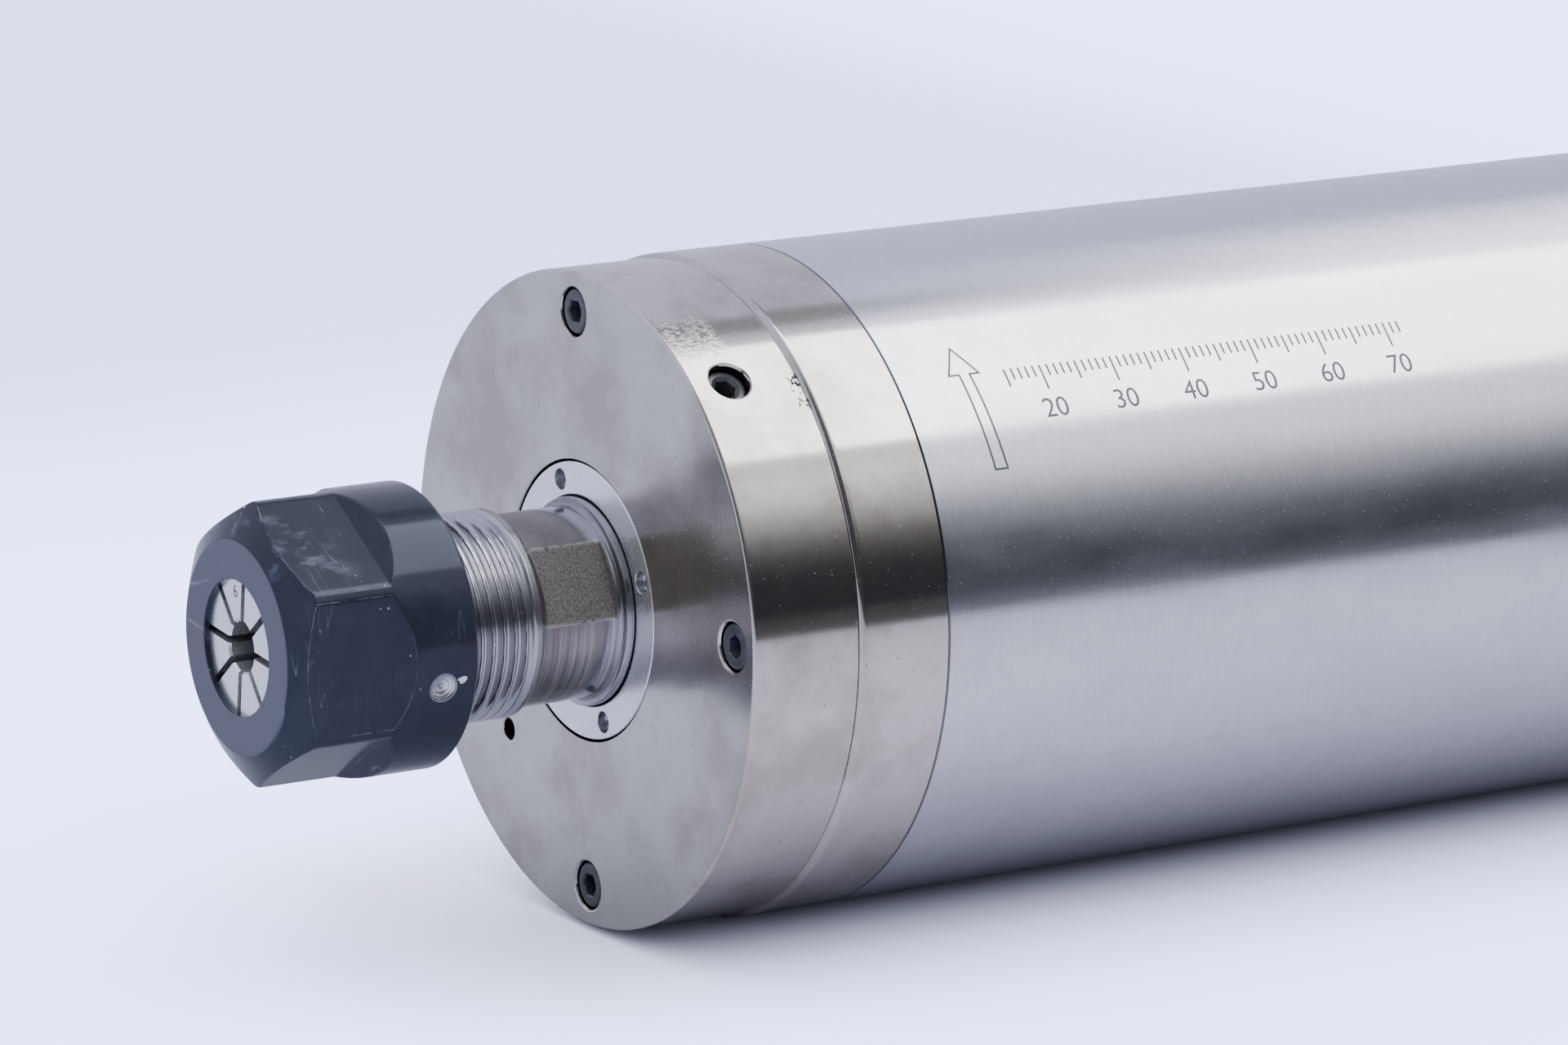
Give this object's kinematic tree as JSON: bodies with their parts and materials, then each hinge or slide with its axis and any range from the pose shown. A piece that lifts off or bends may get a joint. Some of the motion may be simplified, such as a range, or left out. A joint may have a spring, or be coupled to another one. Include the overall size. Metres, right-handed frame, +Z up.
{
  "type": "motor spindle",
  "caption": "Cylindrical water-cooled motor spindle with a spring collet nose, for clamping in a split sleeve",
  "frame": {"origin": "On the spindle's axis, in the plane where the front housing flange meets the body tube", "axes": "+Y runs along the axis towards the rear cover, so the collet points along -Y; +Z is up, with the water fittings above and the power socket below; +X completes a right-handed frame"},
  "size_m": [0.08, 0.3029, 0.08],
  "materials": {
    "body_metal": "ground, fine lines around the axis",
    "plated_steel": "nickel plated, satin",
    "black_oxide": "black oxide",
    "bearing_steel": "ground and polished",
    "sleeve_metal": "turned and milled",
    "seal_rubber": "moulded",
    "lamination": "stacked sheet, varnished",
    "winding": "varnished enamelled wire, laced",
    "lead_sleeve": "silicone sleeve",
    "spring_steel": "tempered",
    "gasket_sheet": "fibre sheet",
    "bright_plating": "nickel plated brass",
    "black_plastic": "moulded",
    "contact_brass": "plated",
    "shaft_steel": "turned and ground",
    "bright_steel": "turned, satin",
    "cage_metal": "die cast",
    "cage_resin": "machined phenolic cloth",
    "ball_ceramic": "polished",
    "burnished_steel": "burnished blue-black"
  },
  "bodies": {
    "housing": {"body_tube": "body_metal", "front_housing": "plated_steel", "front_cover": "plated_steel", "front_cover_screws": "black_oxide", "cover_port_plug": "black_oxide", "front_outer_rings": "bearing_steel", "front_outer_spacer": "bearing_steel", "water_jacket": "sleeve_metal", "jacket_seals": "seal_rubber", "stator_core": "lamination", "stator_windings": "winding", "phase_leads": "lead_sleeve", "rear_housing": "plated_steel", "rear_outer_rings": "bearing_steel", "rear_outer_spacer": "bearing_steel", "preload_spring": "spring_steel", "rear_gasket": "gasket_sheet", "rear_cover": "plated_steel", "rear_cover_screws": "black_oxide", "socket_shell": "bright_plating", "socket_locknut": "bright_plating", "socket_insert": "black_plastic", "socket_contacts": "contact_brass", "water_fittings": "bright_plating", "fitting_washers": "seal_rubber", "hose_nuts": "bright_plating"},
    "rotor": {"spindle_shaft": "shaft_steel", "ring_nut": "bright_steel", "front_inner_rings": "bearing_steel", "front_inner_spacer": "bearing_steel", "rotor_core": "lamination", "rotor_cage": "cage_metal", "rear_inner_rings": "bearing_steel", "rear_inner_spacer": "bearing_steel", "rear_locknut": "black_oxide"},
    "front_cage": {"front_ball_cages": "cage_resin", "front_balls": "ball_ceramic"},
    "rear_cage": {"rear_ball_cages": "cage_resin", "rear_balls": "ball_ceramic"},
    "collet": {"collet": "bright_steel"},
    "nut": {"collet_nut": "burnished_steel"}
  },
  "joints": [
    {"name": "spindle_spin", "type": "hinge", "parent": "housing", "child": "rotor", "pos_m": [0, 0, 0], "axis": [0, -1, 0], "continuous": true},
    {"name": "front_cage_spin", "type": "hinge", "parent": "housing", "child": "front_cage", "pos_m": [0, 0.005, 0], "axis": [0, -1, 0], "continuous": true},
    {"name": "rear_cage_spin", "type": "hinge", "parent": "housing", "child": "rear_cage", "pos_m": [0, 0.163, 0], "axis": [0, -1, 0], "continuous": true},
    {"name": "collet_draw", "type": "slide", "parent": "rotor", "child": "collet", "axis": [0, -1, 0], "range_m": [0, 0.012]},
    {"name": "nut_turn", "type": "hinge", "parent": "collet", "child": "nut", "pos_m": [0, -0.0607, 0], "axis": [0, -1, 0], "range_deg": [0, 2880]}
  ],
  "couplings": [
    {"joint": "front_cage_spin", "follows": "spindle_spin", "ratio": 0.4148},
    {"joint": "rear_cage_spin", "follows": "spindle_spin", "ratio": 0.4022},
    {"joint": "nut_turn", "follows": "collet_draw", "rad_per_m": 4188.8}
  ]
}
